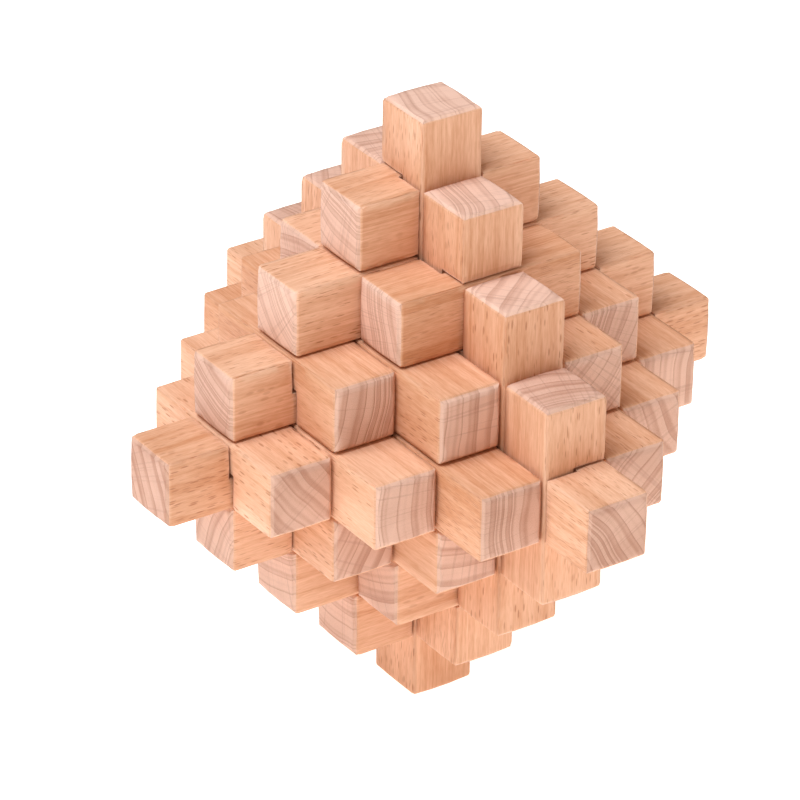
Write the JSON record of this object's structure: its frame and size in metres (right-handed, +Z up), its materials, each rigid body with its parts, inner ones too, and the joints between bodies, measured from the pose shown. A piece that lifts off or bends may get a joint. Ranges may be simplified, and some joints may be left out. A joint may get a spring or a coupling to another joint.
{
  "type": "wooden burr puzzle",
  "caption": "Stepped octahedral burr puzzle of interlocking square wooden bars, with one sliding key bar, standing on one bar end.",
  "frame": {"origin": "on the table, under the middle of the lowest bar end, which the puzzle stands on", "axes": "+Z up; +X to the right and +Y to the back, each along one set of bars; the key bar slides out along -Y, to the front"},
  "size_m": [0.1374, 0.1374, 0.1374],
  "materials": {
    "beech": "smooth sanded bare beech, no lacquer"
  },
  "bodies": {
    "stack": {"centre_bar_x": "beech", "centre_bar_y": "beech", "centre_bar_z": "beech", "x_bar_top_1": "beech", "x_bar_top_2": "beech", "x_bar_top_3": "beech", "x_bar_bottom_1": "beech", "x_bar_bottom_2": "beech", "x_bar_bottom_3": "beech", "x_side_bar_front_top": "beech", "x_side_bar_front_bottom": "beech", "x_side_bar_back_top": "beech", "x_side_bar_back_bottom": "beech", "y_bar_left_2": "beech", "y_bar_left_3": "beech", "y_bar_right_1": "beech", "y_bar_right_2": "beech", "y_bar_right_3": "beech", "y_side_bar_left_top_1": "beech", "y_side_bar_left_top_2": "beech", "y_side_bar_left_bottom_1": "beech", "y_side_bar_left_bottom_2": "beech", "y_side_bar_right_top_1": "beech", "y_side_bar_right_top_2": "beech", "y_side_bar_right_bottom_1": "beech", "y_side_bar_right_bottom_2": "beech", "z_bar_front_1": "beech", "z_bar_front_2": "beech", "z_bar_front_3": "beech", "z_bar_back_1": "beech", "z_bar_back_2": "beech", "z_bar_back_3": "beech"},
    "key": {"key_bar": "beech"}
  },
  "joints": [
    {"name": "key_slide", "type": "slide", "parent": "stack", "child": "key", "axis": [0, -1, 0], "range_m": [0, 0.0153]}
  ]
}
